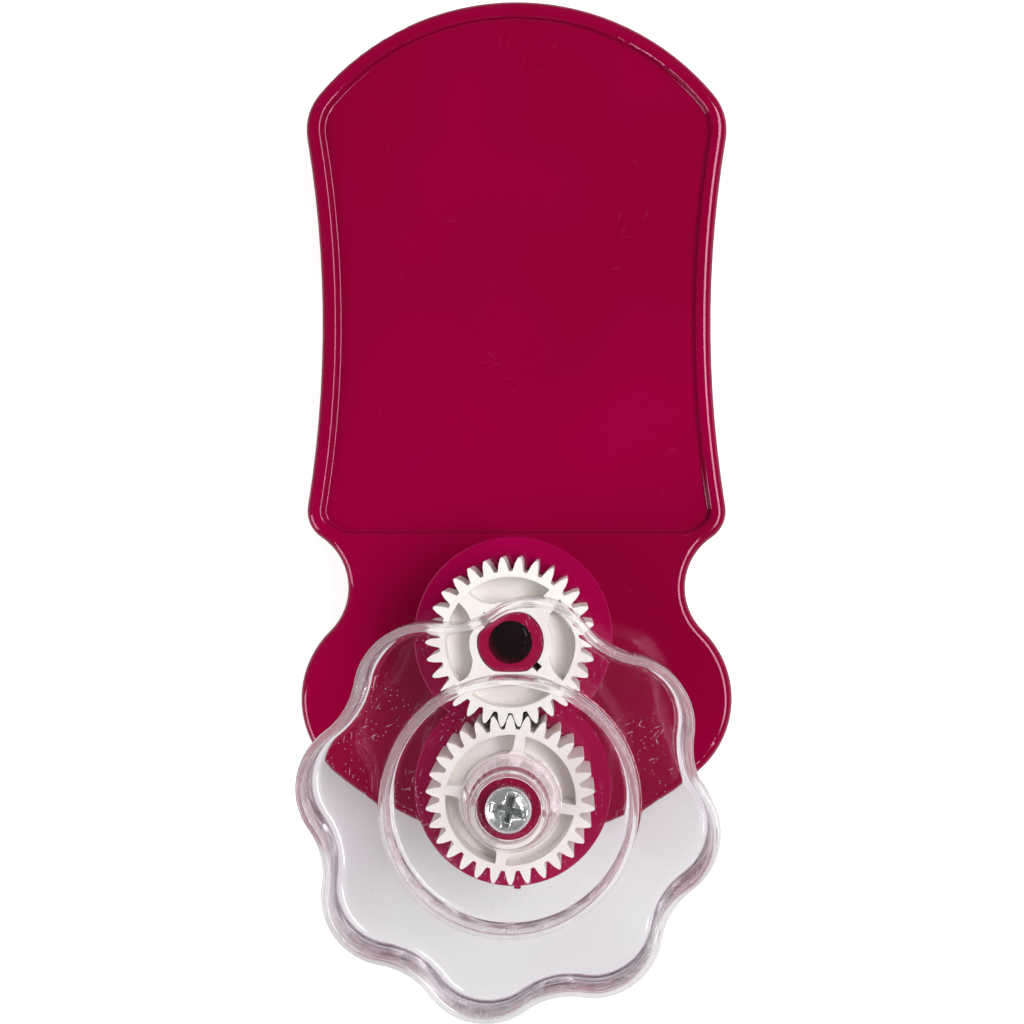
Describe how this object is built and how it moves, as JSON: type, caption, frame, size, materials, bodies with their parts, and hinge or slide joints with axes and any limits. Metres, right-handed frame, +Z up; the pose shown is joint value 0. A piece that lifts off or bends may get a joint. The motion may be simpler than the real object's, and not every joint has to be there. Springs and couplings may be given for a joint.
{
  "type": "paper crimper",
  "caption": "Hand-held paper strip crimper: a flat paddle carries a fine and a coarse pair of meshing gears, one above the other, turned by a clear lobed knob.",
  "frame": {"origin": "on the table, under the middle of the overall size", "axes": "+Z up along the gear axes, +Y from the knob towards the end of the handle, +X to the right when the knob faces the viewer and the handle points up"},
  "size_m": [0.0686, 0.1516, 0.0399],
  "materials": {
    "magenta_plastic": "glossy injection-moulded polystyrene",
    "white_plastic": "smooth white moulded acetal, satin",
    "clear_plastic": "clear moulded styrene with a faint lilac tint and light scratches",
    "zinc_steel": "bright zinc-plated steel"
  },
  "bodies": {
    "paddle": {"base_shell": "magenta_plastic", "divider_plate": "magenta_plastic"},
    "knob_and_spindle": {"drive_spindle": "magenta_plastic", "fine_drive_gear": "white_plastic", "coarse_drive_gear": "white_plastic", "grip_knob": "clear_plastic", "knob_screw": "zinc_steel"},
    "coarse_idler": {"coarse_idler_gear": "white_plastic"},
    "fine_idler": {"fine_idler_gear": "white_plastic"}
  },
  "joints": [
    {"name": "knob_spin", "type": "hinge", "parent": "paddle", "child": "knob_and_spindle", "pos_m": [0, -0.04657, 0.0213], "axis": [0, 0, 1], "continuous": true},
    {"name": "coarse_idler_spin", "type": "hinge", "parent": "paddle", "child": "coarse_idler", "pos_m": [0, -0.02407, 0.0213], "axis": [0, 0, 1], "continuous": true},
    {"name": "fine_idler_spin", "type": "hinge", "parent": "paddle", "child": "fine_idler", "pos_m": [0, -0.02407, 0.0097], "axis": [0, 0, 1], "continuous": true}
  ],
  "couplings": [
    {"joint": "coarse_idler_spin", "follows": "knob_spin", "ratio": -1},
    {"joint": "fine_idler_spin", "follows": "knob_spin", "ratio": -1}
  ]
}
